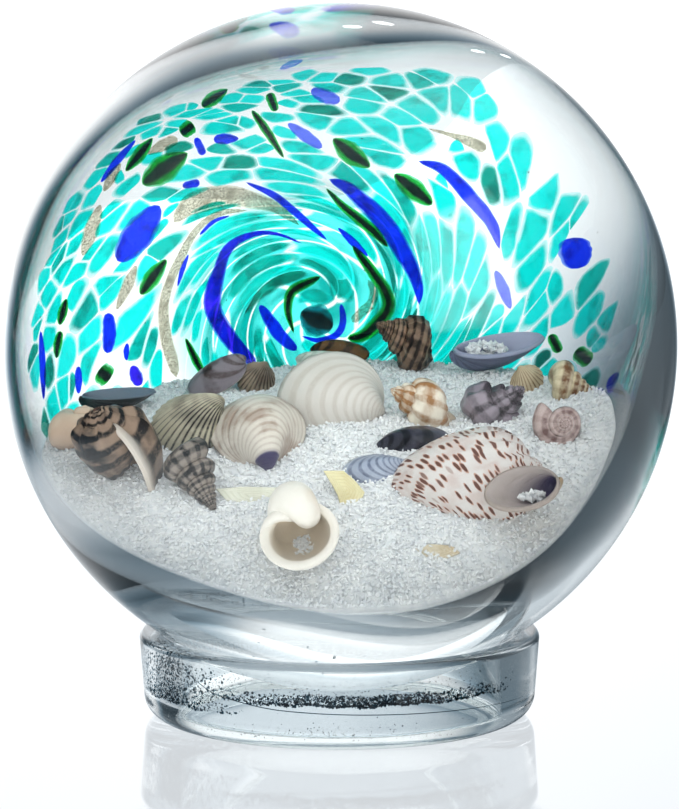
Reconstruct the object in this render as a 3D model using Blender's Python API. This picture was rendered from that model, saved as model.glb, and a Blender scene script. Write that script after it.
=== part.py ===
"""Blown glass globe on its glass ring foot, at real size.

The globe is a sealed vessel, so it is one closed solid here, a little taller than it is wide.
It sits in a spherical seat cut into the top of a heavy clear glass ring.
Metres, +Z up. The origin is on the globe's axis, in the plane that the foot stands on.
"""

import math

import bmesh
import bpy
from mathutils import Matrix

# The globe
GLOBE_WIDTH = 0.127
GLOBE_HEIGHT = 0.1283

# The ring foot: its outer wall leans in a little towards the table
FOOT_HEIGHT = 0.0163
FOOT_RIM_RADIUS = 0.0380
FOOT_LEAN = 0.0008
FOOT_WALL = 0.0074
FOOT_RIM_LAND = 0.0038
FOOT_LIP_ROUNDING = 0.0013
FOOT_HEEL_ROUNDING = 0.0045
FOOT_INNER_ROUNDING = 0.0010

# The gap between the globe and its seat, and how finely the round shapes are divided
SEAT_GAP = 0.0003
GLOBE_SEGMENTS = 72
GLOBE_RINGS = 36
FOOT_SEGMENTS = 72
ARC_STEPS = 5
SEAT_STEPS = 5
SMOOTH_BELOW = math.radians(40)

CLEAR_GLASS = (0.90, 0.96, 0.96, 1.0)


def clear_scene():
    """Removes every object that the file opened with."""
    for obj in list(bpy.data.objects):
        bpy.data.objects.remove(obj)


def glass_material(name, roughness):
    """Clear soda-lime glass."""
    material = bpy.data.materials.new(name)
    material.use_nodes = True
    shader = material.node_tree.nodes["Principled BSDF"]
    shader.inputs["Base Color"].default_value = CLEAR_GLASS
    shader.inputs["Metallic"].default_value = 0.0
    shader.inputs["Roughness"].default_value = roughness
    shader.inputs["Transmission Weight"].default_value = 1.0
    return material


def add_object(name, bm, material):
    """Puts a finished bmesh into the scene as one smooth-shaded object."""
    mesh = bpy.data.meshes.new(name)
    bmesh.ops.recalc_face_normals(bm, faces=bm.faces)
    bm.to_mesh(mesh)
    bm.free()
    mesh.shade_smooth()
    mesh.set_sharp_from_angle(angle=SMOOTH_BELOW)
    mesh.materials.append(material)
    obj = bpy.data.objects.new(name, mesh)
    bpy.context.scene.collection.objects.link(obj)
    return obj


def globe_depth_at(radius):
    """How far below its centre the globe's surface is, at this distance from the axis."""
    return GLOBE_HEIGHT / 2 * math.sqrt(1 - (radius / (GLOBE_WIDTH / 2)) ** 2)


def seat_outer_radius():
    """Where the seat meets the flat land on top of the rim."""
    return FOOT_RIM_RADIUS - FOOT_RIM_LAND


def foot_inner_radius():
    """The radius of the hole through the ring."""
    return FOOT_RIM_RADIUS - FOOT_WALL


def globe_centre_height():
    """The globe rests in the seat, so its centre follows from the rim's height and the seat's radius."""
    return FOOT_HEIGHT + globe_depth_at(seat_outer_radius()) + SEAT_GAP


def arc(centre_r, centre_z, radius, start, end):
    """Points on a rounding in the profile's plane, from one angle to another, in degrees."""
    points = []
    for step in range(ARC_STEPS + 1):
        angle = math.radians(start + (end - start) * step / ARC_STEPS)
        points.append((centre_r + radius * math.cos(angle), centre_z + radius * math.sin(angle)))
    return points


def foot_profile():
    """The ring's cross-section as (radius, height) points, once round, anticlockwise from the inside bottom."""
    inner = foot_inner_radius()
    heel = FOOT_HEEL_ROUNDING
    lip = FOOT_LIP_ROUNDING
    foot_in = FOOT_INNER_ROUNDING
    bottom_radius = FOOT_RIM_RADIUS - FOOT_LEAN
    points = arc(inner + foot_in, foot_in, foot_in, 180, 270)
    points += arc(bottom_radius - heel, heel, heel, 270, 360)
    points += arc(FOOT_RIM_RADIUS - lip, FOOT_HEIGHT - lip, lip, 0, 90)
    seat_out = seat_outer_radius()
    centre = globe_centre_height()
    for step in range(SEAT_STEPS + 1):
        radius = seat_out + (inner - seat_out) * step / SEAT_STEPS
        points.append((radius, centre - globe_depth_at(radius) - SEAT_GAP))
    return points


def make_globe(material):
    """The blown globe: a sphere drawn to its width and height, standing in its seat."""
    bm = bmesh.new()
    bmesh.ops.create_uvsphere(bm, u_segments=GLOBE_SEGMENTS, v_segments=GLOBE_RINGS, radius=1.0)
    to_size = Matrix.Diagonal((GLOBE_WIDTH / 2, GLOBE_WIDTH / 2, GLOBE_HEIGHT / 2, 1.0))
    bmesh.ops.transform(bm, matrix=to_size, verts=bm.verts)
    globe = add_object("globe", bm, material)
    globe.location = (0, 0, globe_centre_height())
    return globe


def make_foot(material):
    """The ring foot: its cross-section spun once round the globe's axis."""
    bm = bmesh.new()
    verts = [bm.verts.new((radius, 0, height)) for radius, height in foot_profile()]
    edges = [bm.edges.new((verts[i - 1], verts[i])) for i in range(len(verts))]
    bmesh.ops.spin(
        bm,
        geom=verts + edges,
        cent=(0, 0, 0),
        axis=(0, 0, 1),
        angle=math.tau,
        steps=FOOT_SEGMENTS,
        use_merge=True,
    )
    bmesh.ops.remove_doubles(bm, verts=bm.verts, dist=1e-6)
    return add_object("foot", bm, material)


def main():
    clear_scene()
    make_globe(glass_material("blown_glass", 0.02))
    make_foot(glass_material("cast_glass", 0.04))


main()
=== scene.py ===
"""The looks of a blown glass globe with a swirl of coloured glass, sand and seashells sealed inside.

Metres, +Z up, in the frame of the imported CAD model. -Y is the clear front, +Y the coloured back wall.
"""

import math
from functools import partial

import bmesh
import bpy
import numpy as np
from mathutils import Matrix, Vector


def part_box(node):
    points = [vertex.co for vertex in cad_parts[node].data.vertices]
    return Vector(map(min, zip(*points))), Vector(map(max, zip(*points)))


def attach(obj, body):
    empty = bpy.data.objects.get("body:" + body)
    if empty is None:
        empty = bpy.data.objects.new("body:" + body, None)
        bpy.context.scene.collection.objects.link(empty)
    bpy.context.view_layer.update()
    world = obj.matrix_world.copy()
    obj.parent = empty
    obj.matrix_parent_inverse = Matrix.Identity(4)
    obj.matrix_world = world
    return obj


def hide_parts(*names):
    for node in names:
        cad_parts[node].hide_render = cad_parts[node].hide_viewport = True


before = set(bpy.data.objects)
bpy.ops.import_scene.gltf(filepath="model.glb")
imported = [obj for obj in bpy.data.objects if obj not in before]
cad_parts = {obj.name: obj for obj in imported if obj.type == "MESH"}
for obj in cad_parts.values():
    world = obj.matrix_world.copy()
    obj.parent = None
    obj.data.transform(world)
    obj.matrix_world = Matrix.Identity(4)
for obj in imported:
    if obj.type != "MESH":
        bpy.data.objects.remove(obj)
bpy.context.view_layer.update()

# Camera
# It stands level with the upper half of the globe, looks down a little, and is far enough off that the
# globe fills the picture's width with hardly any perspective.
PICTURE_WIDTH = 679
PICTURE_HEIGHT = 809
GLOBE_WIDTH_IN_PICTURE = 676
GLOBE_CENTRE_IN_PICTURE = (339.0, 344.5)
CAMERA_DISTANCE = 0.80
CAMERA_ELEVATION = math.radians(7.0)
SENSOR = 0.036

globe_low, globe_high = (np.array(corner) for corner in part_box("globe"))
globe_centre = (globe_low + globe_high) / 2
globe_radius = (globe_high - globe_low) / 2
WIDE = globe_radius[0]

# The line of sight through the globe's centre, and the directions that are right and up across it
SIGHT = np.array([0.0, math.cos(CAMERA_ELEVATION), -math.sin(CAMERA_ELEVATION)])
RIGHT = np.array([1.0, 0.0, 0.0])
UP = np.cross(RIGHT, SIGHT)

camera_data = bpy.data.cameras.new("camera")
focal_pixels = GLOBE_WIDTH_IN_PICTURE / 2 / math.tan(math.asin(WIDE / CAMERA_DISTANCE))
camera_data.lens = focal_pixels * SENSOR * 1000 / PICTURE_HEIGHT
camera_data.sensor_width = SENSOR * 1000
camera_data.clip_start = 0.01
camera = bpy.data.objects.new("camera", camera_data)
camera.location = globe_centre - CAMERA_DISTANCE * SIGHT
centre_drop = PICTURE_HEIGHT / 2 - GLOBE_CENTRE_IN_PICTURE[1]
dip = CAMERA_ELEVATION + math.atan(centre_drop / focal_pixels)
camera.rotation_euler = (math.pi / 2 - dip, 0, 0)
bpy.context.scene.collection.objects.link(camera)
bpy.context.scene.camera = camera

# Studio
# A white card stands behind the globe between two dark flags, which draw the glass's dark edges. A
# window-shaped softbox is in front on the right and a wide one overhead. The floor is pale gloss acrylic.
CARD_WHITE = 1.25
CARD_SIDE = (6.0, 29.0)
CARD_LEFT_SHIFT = 7.0
CARD_TOP = (10.0, 40.0)
FLAG_DARK = 0.045
FLAG_END = (60.0, 82.0)
SIDE_GREY = 0.12
ABOVE_GREY = 0.06
ABOVE_START = (8.0, 40.0)
FRONT_WHITE = 0.06
FRONT_START = (95.0, 140.0)
OVERHEAD = 0.2
OVERHEAD_START = (56.0, 72.0)
WINDOW = 1.7
WINDOW_AZIMUTH = 131.0
WINDOW_ELEVATION = 28.0
WINDOW_HALF_WIDTH = 17.0
WINDOW_HALF_HEIGHT = 18.5
WINDOW_SOFTNESS = 1.2
SPARKS = ((2.3, 40.5), (6.3, 34.0))
SPARK_WIDE = (1.5, 0.9)
SPARK_WHITE = 10.0
STUDIO_TINT = "#F8FAFC"
FLAG_TINT = "#A8D2EC"
FLAG_TINT_UP_TO = 0.9
RIGHT_GREY = 0.44
RIGHT_AZIMUTH = (8.0, 24.0)
RIGHT_ELEVATION = (-5.0, 13.0)
SOFT_AROUND = 0.85
SOFT_FRONT = 1.9
SOFT_ABOVE = 0.3
SOFT_BELOW = 2.8
SOFT_FRONT_FROM = (80.0, 150.0)
SOFT_ABOVE_FROM = (20.0, 75.0)
FILL_WIDTH = 0.056
FILL_WATTS = 0.012
FILL_HEIGHT = 0.040
FILL_FORWARD = 0.024
FILL_TILT = math.radians(20)
FLOOR_RADIUS = 3.0
FLOOR_PALE = 0.72
# Painted light in the floor's glow, for rays other than the eye's: it is darker nearer the globe as a
# painted shadow, has a painted pool of light close round it with a painted shadow right under it, and is
# darker on its right as painted shade.
FLOOR_SHADE = 0.50
FLOOR_SHADE_TO = (0.18, 0.40)
FLOOR_NEAR = (0.13, 0.22)
FLOOR_UNDER = 0.64
FLOOR_DARK_UNDER = 0.16
FLOOR_UNDER_TO = (0.045, 0.085)
FLOOR_RIGHT = (0.0, 0.05)
FLOOR_RIGHT_SHARE = 0.11
FLOOR_FLAG_FROM = 0.12


def linear(hex_colour):
    """An sRGB colour such as "#20B2AA" as linear red, green, blue and alpha."""
    channels = np.array([int(hex_colour[i:i + 2], 16) for i in (1, 3, 5)]) / 255
    low = channels / 12.92
    high = ((channels + 0.055) / 1.055) ** 2.4
    return (*np.where(channels <= 0.04045, low, high), 1.0)


# What the second word of a node's kind sets
NODE_MODES = {
    "Math": "operation", "VectorMath": "operation", "MapRange": "interpolation_type", "Mix": "data_type"
}


def add_node(tree, kind, inputs=(), output=0, **settings):
    """Adds a node and returns one of its outputs, or all of them where output is None.

    Its inputs are values, or other nodes' outputs to link, in order or by name.
    """
    kind, *mode = kind.split()
    node = tree.nodes.new("ShaderNode" + kind)
    for word in mode:
        setattr(node, NODE_MODES[kind], word)
    for name, value in settings.items():
        setattr(node, name, value)
    for name, value in inputs.items() if isinstance(inputs, dict) else enumerate(inputs):
        if isinstance(value, bpy.types.NodeSocket):
            tree.links.new(value, node.inputs[name])
        else:
            node.inputs[name].default_value = value
    return node.outputs if output is None else node.outputs[output]


def flagged_card(node, azimuth):
    """The card's white between the flags' dark, and grey past them, by degrees to the side of +Y."""
    off_card = node("Math ABSOLUTE", (node("Math ADD", (azimuth, CARD_LEFT_SHIFT)),))
    card = node("MapRange SMOOTHSTEP", (off_card, *CARD_SIDE, CARD_WHITE, 0.0))
    past = node("MapRange SMOOTHSTEP", (node("Math ABSOLUTE", (azimuth,)), *FLAG_END, FLAG_DARK, SIDE_GREY))
    front = (node("Math ABSOLUTE", (azimuth,)), *FRONT_START, 0.0, FRONT_WHITE - SIDE_GREY)
    return card, node("Math ADD", (past, node("MapRange SMOOTHSTEP", front)))


def flag_blue(node, strength):
    """The blue cast of what is dark round the card, and plain white where it is bright."""
    bright = node("MapRange SMOOTHSTEP", (strength, 0.0, FLAG_TINT_UP_TO, 0.0, 1.0))
    return node("Mix RGBA", {0: bright, 6: linear(FLAG_TINT), 7: linear(STUDIO_TINT)}, output=2)


def light_studio():
    """The world's light by direction, as a camera ray sees plain white and every other ray the cards."""
    world = bpy.data.worlds.new("studio")
    bpy.context.scene.world = world
    world.use_nodes = True
    tree = world.node_tree
    tree.nodes.clear()
    node = partial(add_node, tree)
    direction = node("TexCoord", output="Generated")
    axes = node("SeparateXYZ", {0: direction}, output=None)
    elevation = node("Math DEGREES", (node("Math ARCSINE", (axes["Z"],)),))
    azimuth = node("Math DEGREES", (node("Math ARCTAN2", (axes["X"], axes["Y"])),))
    card, around = flagged_card(node, azimuth)
    card = node("Math MULTIPLY", (card, node("MapRange SMOOTHSTEP", (elevation, *CARD_TOP, 1.0, 0.0))))
    above = node("MapRange SMOOTHSTEP", (elevation, *ABOVE_START, 0.0, ABOVE_GREY))
    overhead = node("MapRange SMOOTHSTEP", (elevation, *OVERHEAD_START, 0.0, OVERHEAD))
    across = node("Math ABSOLUTE", (node("Math SUBTRACT", (azimuth, WINDOW_AZIMUTH)),))
    along = node("Math ABSOLUTE", (node("Math SUBTRACT", (elevation, WINDOW_ELEVATION)),))
    wide = [WINDOW_HALF_WIDTH + soft for soft in (-WINDOW_SOFTNESS, WINDOW_SOFTNESS)]
    tall = [WINDOW_HALF_HEIGHT + soft for soft in (-WINDOW_SOFTNESS, WINDOW_SOFTNESS)]
    window = node("MapRange SMOOTHSTEP", (across, *wide, WINDOW, 0.0))
    window = node("Math MULTIPLY", (window, node("MapRange SMOOTHSTEP", (along, *tall, 1.0, 0.0))))
    lights = node("Math ADD", (card, around))
    sparks = []
    for turn, rise in SPARKS:
        turn, rise = math.radians(turn), math.radians(rise)
        towards = (math.sin(turn) * math.cos(rise), math.cos(turn) * math.cos(rise), math.sin(rise))
        facing = node("VectorMath DOT_PRODUCT", {0: direction, 1: towards}, output="Value")
        edge = [math.cos(math.radians(angle)) for angle in SPARK_WIDE]
        sparks.append(node("MapRange SMOOTHSTEP", (facing, *edge, 0.0, SPARK_WHITE)))
    right = node("MapRange SMOOTHSTEP", (azimuth, *RIGHT_AZIMUTH, 0.0, RIGHT_GREY))
    right = node("Math MULTIPLY", (right, node("MapRange SMOOTHSTEP", (azimuth, *FLAG_END, 1.0, 0.0))))
    raised = node("MapRange SMOOTHSTEP", (elevation, *RIGHT_ELEVATION, 0.0, 1.0))
    right = node("Math MULTIPLY", (right, raised))
    for lamp in (above, overhead, window, right, *sparks):
        lights = node("Math ADD", (lights, lamp))
    path = node("LightPath", output=None)
    soft = (node("Math ABSOLUTE", (azimuth,)), *SOFT_FRONT_FROM, SOFT_AROUND, SOFT_AROUND + SOFT_FRONT)
    soft_above = node("MapRange SMOOTHSTEP", (elevation, *SOFT_ABOVE_FROM, 0.0, SOFT_ABOVE))
    soft = node("Math ADD", (node("MapRange SMOOTHSTEP", soft), soft_above))
    soft = node("Math MULTIPLY", (soft, node("Math GREATER_THAN", (path["Diffuse Depth"], 0.5))))
    strength = node("Math MAXIMUM", (lights, node("Math MAXIMUM", (soft, path["Is Camera Ray"]))))
    lit = node("Background", {"Color": flag_blue(node, strength), "Strength": strength})
    node("OutputWorld", {"Surface": lit}, output=None)


def plain_material(name, colour, roughness, **inputs):
    """A Principled material with plain values; returns it with its shader node."""
    material = bpy.data.materials.new(name)
    material.use_nodes = True
    shader = material.node_tree.nodes["Principled BSDF"]
    shader.inputs["Base Color"].default_value = linear(colour)
    shader.inputs["Roughness"].default_value = roughness
    for label, value in inputs.items():
        shader.inputs[label.replace("_", " ")].default_value = value
    return material, shader


def make_floor():
    """A disc of acrylic that glows: pale to the eye, and for rays in the glass with the flags' shade, a
    painted shadow and a painted pool of light round the globe, and painted shade to its right.
    """
    bpy.ops.mesh.primitive_circle_add(vertices=128, radius=FLOOR_RADIUS, fill_type="NGON")
    floor = bpy.context.object
    floor.name = "floor"
    acrylic, shader = plain_material("pale_gloss_acrylic", "#181818", 0.05, IOR=1.49)
    tree = acrylic.node_tree
    node = partial(add_node, tree)
    place = node("TexCoord", output="Object")
    axes = node("SeparateXYZ", {0: place}, output=None)
    behind = node("Math ADD", (axes["Y"], FLOOR_FLAG_FROM))
    azimuth = node("Math DEGREES", (node("Math ARCTAN2", (axes["X"], behind)),))
    card, around = flagged_card(node, azimuth)
    distance = node("VectorMath LENGTH", {0: place}, output="Value")
    # Painted shadow: the glow is darker nearer the globe.
    pale = node("MapRange SMOOTHSTEP", (distance, *FLOOR_SHADE_TO, FLOOR_PALE * FLOOR_SHADE, FLOOR_PALE))
    shade = node("Math MULTIPLY", (node("Math ADD", (card, around)), pale))
    # Painted pool of light close round the globe, with a painted shadow right under it and painted shade on
    # its right.
    near = node("MapRange SMOOTHSTEP", (distance, *FLOOR_NEAR, 1.0, 0.0))
    under = node("MapRange SMOOTHSTEP", (distance, *FLOOR_UNDER_TO, FLOOR_DARK_UNDER, FLOOR_UNDER))
    near = node("Math MULTIPLY", (near, under))
    on_right = node("MapRange SMOOTHSTEP", (axes["X"], *FLOOR_RIGHT, 1.0, FLOOR_RIGHT_SHARE))
    near = node("Math MULTIPLY", (near, on_right))
    path = node("LightPath", output=None)
    pale = node("Math MULTIPLY", (path["Is Camera Ray"], FLOOR_PALE))
    soft = node("Math MULTIPLY", (node("Math GREATER_THAN", (path["Diffuse Depth"], 0.5)), SOFT_BELOW))
    pale = node("Math MAXIMUM", (pale, soft))
    glow = node("Math MAXIMUM", (node("Math MAXIMUM", (shade, near)), pale))
    tree.links.new(flag_blue(node, glow), shader.inputs["Emission Color"])
    tree.links.new(glow, shader.inputs["Emission Strength"])
    floor.data.materials.append(acrylic)


def hang_fill_lamp():
    """A soft lamp under the hollow's top, which no ray from the eye or through the glass sees."""
    data = bpy.data.lights.new("fill_lamp", "AREA")
    data.shape = "DISK"
    data.size = FILL_WIDTH
    data.energy = FILL_WATTS
    lamp = bpy.data.objects.new("fill_lamp", data)
    lamp.location = globe_centre + (0, -FILL_FORWARD, FILL_HEIGHT)
    lamp.rotation_euler = (-FILL_TILT, 0, 0)
    lamp.visible_camera = False
    lamp.visible_glossy = False
    lamp.visible_transmission = False
    bpy.context.scene.collection.objects.link(lamp)


light_studio()
make_floor()
hang_fill_lamp()

scene = bpy.context.scene
scene.view_settings.view_transform = "Standard"
scene.cycles.max_bounces = 24
scene.cycles.transmission_bounces = 24
scene.cycles.glossy_bounces = 8
scene.cycles.diffuse_bounces = 4
scene.cycles.transparent_max_bounces = 16

# Globe
# One gather of clear glass, blown to a thick-walled ball and sealed. The hollow inside isn't quite round:
# the wall is thickest at the bottom and thins to almost nothing at the upper right.
GLASS_TINT = "#F9FCFC"
GLASS_IOR = 1.5
AROUND = 288
FROM_TOP = 144
# How far out the hollow reaches, in globe radii, at angles in degrees turned from the right to the top
HOLLOW_ANGLES = (
    0, 12, 18, 25, 45, 58, 66, 72, 80, 90, 107, 120, 133, 153, 180, 197, 209, 221, 228, 239, 249, 270, 292,
    315, 333, 348,
)
HOLLOW_REACH = (
    0.905, 0.935, 0.960, 0.975, 0.988, 0.966, 0.958, 0.928, 0.890, 0.868, 0.876, 0.894, 0.922, 0.918, 0.929,
    0.937, 0.933, 0.903, 0.882, 0.849, 0.834, 0.839, 0.862, 0.885, 0.886, 0.890,
)
HOLLOW_MEAN = 0.900
# The profile is smoothed by a bell this wide, cut off at this span, both in half degrees
HOLLOW_SMOOTH = 24.0
HOLLOW_SPAN = 72
HOLLOW_WAVE = 0.00003


def around_axis(reach, turn, *height):
    """Points at a distance from the vertical axis and a turn round it, and at a height where it is given."""
    return np.stack([reach * np.cos(turn), reach * np.sin(turn), *height], axis=-1)


def round_grid(around, along):
    """Unit directions on a grid that goes round the vertical axis and from the bottom pole to the top."""
    turn = np.arange(around) / around * math.tau
    rise = (np.arange(along + 1) / along - 0.5) * math.pi
    turn, rise = np.meshgrid(turn, rise)
    return around_axis(np.cos(rise), turn, np.sin(rise))


def grid_faces(columns, rows, closed=True):
    """Quads of a grid of rows x columns points, and each corner's place in it from 0 to 1.

    closed joins the last column to the first. The points are numbered along the rows.
    """
    cells = columns if closed else columns - 1
    i, j = np.meshgrid(np.arange(cells), np.arange(rows - 1))
    i, j = i.ravel(), j.ravel()
    ci = np.stack([i, i + 1, i + 1, i], axis=-1)
    cj = np.stack([j, j, j + 1, j + 1], axis=-1)
    faces = cj * columns + ci % columns
    places = np.stack([ci / cells, cj / (rows - 1)], axis=-1)
    return faces, places


def add_piece(name, points, faces, material, places=None, smooth=True, replaces=()):
    """Makes a mesh object of points and faces, merges doubled points and rides it on the root body.

    places are the UVs of each face's corners.
    """
    mesh = bpy.data.meshes.new(name)
    mesh.from_pydata(points.reshape(-1, 3).tolist(), [], faces.tolist())
    if places is not None:
        mesh.uv_layers.new(name="UVMap").data.foreach_set("uv", places.astype(np.float32).ravel())
    merged = bmesh.new()
    merged.from_mesh(mesh)
    bmesh.ops.remove_doubles(merged, verts=merged.verts, dist=1e-7)
    merged.to_mesh(mesh)
    merged.free()
    if smooth:
        mesh.shade_smooth()
    mesh.materials.append(material)
    piece = bpy.data.objects.new(name, mesh)
    bpy.context.scene.collection.objects.link(piece)
    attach(piece, "root")
    if replaces:
        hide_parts(*replaces)
    return piece


def hollow_reach(direction):
    """The hollow's radius towards a direction, as a share of the globe's.

    Across the line of sight it is the profile above, smoothed, and towards and away from the eye it is the
    mean, with across ** 4 of the profile between. A slow wave keeps it from being perfect.
    """
    every = np.arange(720) / 2
    profile = np.interp(every, HOLLOW_ANGLES, HOLLOW_REACH, period=360)
    bell = np.exp(-0.5 * (np.arange(-HOLLOW_SPAN, HOLLOW_SPAN + 1) / HOLLOW_SMOOTH) ** 2)
    wrapped = np.concatenate([profile[-HOLLOW_SPAN:], profile, profile[:HOLLOW_SPAN]])
    profile = np.convolve(wrapped, bell / bell.sum(), "valid")
    angle = np.degrees(np.arctan2(direction @ UP, direction @ RIGHT)) % 360
    reach = np.interp(angle, every, profile, period=360)
    across = np.sqrt(np.clip(1 - (direction @ SIGHT) ** 2, 0, 1))
    wave = np.sin(direction @ (7.0, 5.0, 4.0)) * np.sin(direction @ (-4.0, 6.0, 9.0) + 1.0)
    return HOLLOW_MEAN + (reach - HOLLOW_MEAN) * across ** 4 + wave * HOLLOW_WAVE / WIDE


def hollow_point(direction, deeper=0.0):
    """A point of the hollow's wall towards a direction from the globe's centre, or deeper in the glass."""
    reach = (hollow_reach(direction) * WIDE + deeper)[..., None]
    return globe_centre + direction * reach * globe_radius / WIDE


def wall_point(direction, share):
    """A point inside the glass towards a direction, at a share of the wall's thickness from the hollow."""
    return hollow_point(direction, share * (1 - hollow_reach(direction)) * WIDE)


def clear_glass(name, tint=GLASS_TINT, ior=GLASS_IOR):
    """Polished clear glass, or at an IOR of 1 a tint with no surface of its own; and its shader."""
    return plain_material(name, tint, 0.0, IOR=ior, Transmission_Weight=1.0)


def make_globe():
    """Two closed surfaces: the globe's outside, and the hollow's wall with its faces turned inwards."""
    directions = round_grid(AROUND, FROM_TOP)
    outside = globe_centre + directions * globe_radius
    inside = hollow_point(directions)
    faces, places = grid_faces(AROUND, FROM_TOP + 1)
    points = np.concatenate([outside.reshape(-1, 3), inside.reshape(-1, 3)])
    turned = faces[:, ::-1] + outside.size // 3
    glass = clear_glass("blown_soda_lime_glass")[0]
    places = np.concatenate([places, places[:, ::-1]])
    add_piece("glass_globe", points, np.concatenate([faces, turned]), glass, places, replaces=("globe",))


make_globe()

# Foot
# A heavy ring of clear cast glass with a rounded heel, and small bubbles trapped where the batch cooled.
foot_high = np.array(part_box("foot")[1])
FOOT_RIM = foot_high[0]
FOOT_TOP = foot_high[2]
FOOT_LEAN = 0.0008
FOOT_WALL = 0.0074
FOOT_LAND = 0.0038
FOOT_HEEL = 0.0045
FOOT_LIP = 0.0013
FOOT_INNER = 0.0010
SEAT_GAP = 0.0003
FOOT_AROUND = 384
ROUNDING_STEPS = 14
SEAT_STEPS = 12
INNER_WALL_STEPS = 6
FOOT_RIPPLE = 0.00008
FOOT_SHARP = math.radians(40)
# The flecks' and the thread's dark teal; in the flecks it is partly painted shade.
FLECK_TEAL = "#184A5A"


def seat_height(radius):
    """The globe's underside at a distance from the axis, less the gap."""
    drop = globe_radius[2] * np.sqrt(1 - (radius / WIDE) ** 2)
    return globe_centre[2] - drop - SEAT_GAP


def rounding(centre_r, centre_z, radius, start, end):
    """Points of an arc in the profile's plane, from one angle to another, in degrees."""
    angle = np.radians(np.linspace(start, end, ROUNDING_STEPS))
    return np.stack([centre_r + radius * np.cos(angle), centre_z + radius * np.sin(angle)], axis=-1)


def make_foot():
    """The ring's cross-section carried round the axis.

    The outer wall has ripples, inwards only, of sin(5 a + 2600 z) * sin(3 a - 1100 z + 1)
    + sin(13 a + 1300 z) / 3.
    """
    inner = FOOT_RIM - FOOT_WALL
    seat_r = np.linspace(FOOT_RIM - FOOT_LAND, inner, SEAT_STEPS)
    wall_z = np.linspace(seat_height(inner), FOOT_INNER, INNER_WALL_STEPS + 1)[1:]
    profile = np.concatenate([
        rounding(inner + FOOT_INNER, FOOT_INNER, FOOT_INNER, 180, 270),
        rounding(FOOT_RIM - FOOT_LEAN - FOOT_HEEL, FOOT_HEEL, FOOT_HEEL, 270, 360),
        rounding(FOOT_RIM - FOOT_LIP, FOOT_TOP - FOOT_LIP, FOOT_LIP, 0, 90),
        np.stack([seat_r, seat_height(seat_r)], axis=-1),
        np.stack([np.full(INNER_WALL_STEPS, inner), wall_z], axis=-1),
    ])
    turn = np.arange(FOOT_AROUND) / FOOT_AROUND * math.tau
    r, z = profile[:, 0, None], profile[:, 1, None]
    outer = np.clip((r - FOOT_RIM + FOOT_LAND) / FOOT_LAND, 0, 1) * np.clip(z / FOOT_HEEL, 0, 1)
    ripple = np.sin(turn * 5 + z * 2600) * np.sin(turn * 3 - z * 1100 + 1.0)
    ripple += np.sin(turn * 13 + z * 1300) / 3
    r = r - FOOT_RIPPLE * outer * (1 + ripple * 3 / 4) / 2
    points = around_axis(r, turn, z + 0 * turn)
    faces, places = grid_faces(FOOT_AROUND, len(profile))
    piece = add_piece("glass_foot", points, faces, clear_glass("cast_glass")[0], places, replaces=("foot",))
    piece.data.set_sharp_from_angle(angle=FOOT_SHARP)


make_foot()

# Flaws in the foot
# Bubbles and flecks of a dark teal tint in the ring. The flecks are partly specks of teal glass and partly
# painted shade that darkens the band of bubbles. A group's values are from and to which way round in
# degrees, from and to which height, how many, from and to which radius, and the share of them that are
# flecks.
FLAW_GROUPS = (
    (238, 322, 0.0086, 0.0106, 4200, 0.00007, 0.00026, 0.82),
    (225, 330, 0.0100, 0.0136, 500, 0.00006, 0.00015, 0.6),
    (186, 236, 0.0060, 0.0140, 2600, 0.00007, 0.00026, 0.8),
    (0, 360, 0.0024, 0.0145, 700, 0.00005, 0.00015, 0.4),
    (246, 292, 0.0030, 0.0050, 160, 0.00006, 0.00014, 0.3),
)
FLAW_IN = (0.0007, 0.0034)
FLAW_SEED = 3
# The power that crowds flaws to a group's lower edge, that edge's waver, and the clear glass above them all
FLAW_SINKING = 1.7
FLAW_WAVER = 0.0003
FLAW_UNDER_SEAT = 0.0006


def repeated(faces, count, form):
    """The faces of one form, numbered on for count copies of its points."""
    starts = np.arange(count) * (form.size // 3)
    return (faces[None] + starts[:, None, None]).reshape(-1, faces.shape[1])


def make_flaws():
    """Bubbles and flecks in the ring: small balls of twelve faces, denser towards a group's lower edge.

    A bubble's faces are turned in, as it is a hole in the glass.
    """
    random = np.random.default_rng(FLAW_SEED)
    ball = round_grid(5, 3)
    faces = grid_faces(5, 4)[0]
    every, flecks = [], []
    for start, end, low, high, number, small, large, share in FLAW_GROUPS:
        middle, half = (start + end) / 2, (end - start) / 2
        spread = random.uniform(-1, 1, number) + random.uniform(-1, 1, number)
        turn = np.radians(middle + half * spread * 0.6)
        reach = FOOT_RIM - random.uniform(*FLAW_IN, number) - FOOT_LEAN
        height = low + (high - low) * random.random(number) ** FLAW_SINKING
        height += FLAW_WAVER * np.sin(turn * 9.3) * np.sin(turn * 23)
        at = around_axis(reach, turn, height)
        size = small + (large - small) * random.random(number) ** 3
        size = size[:, None] * random.uniform(0.6, 1.4, (number, 3))
        within = at[:, 2] < seat_height(reach) - FLAW_UNDER_SEAT
        every.append((at[:, None, None] + ball * size[:, None, None, :])[within])
        flecks.append((random.random(number) < share)[within])
    every, flecks = np.concatenate(every), np.concatenate(flecks)
    # The flecks' dark teal tint is partly painted shade: it darkens the band of bubbles.
    bubble, fleck = clear_glass("bubble_in_glass"), clear_glass("teal_fleck", FLECK_TEAL, 1.0)
    for name, chosen, look in (("foot_bubbles", ~flecks, bubble), ("foot_flecks", flecks, fleck)):
        add_piece(name, every[chosen], repeated(faces[:, ::-1], chosen.sum(), ball), look[0])


make_flaws()

# Thread in the foot
# A dark thread of glass was trapped where the ring was closed. Its points are which way round in degrees,
# and the height. Their line is smoothed by a bell over its steps.
THREAD = (
    (215, 0.0146), (222, 0.0121), (231, 0.0095), (250, 0.0078), (270, 0.0073), (300, 0.0068), (320, 0.0064),
    (338, 0.0060),
)
THREAD_RADIUS = 0.00010
THREAD_IN = 0.0009
THREAD_STEPS = 160
THREAD_SMOOTH = 4.0
THREAD_SPAN = 8


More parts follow.
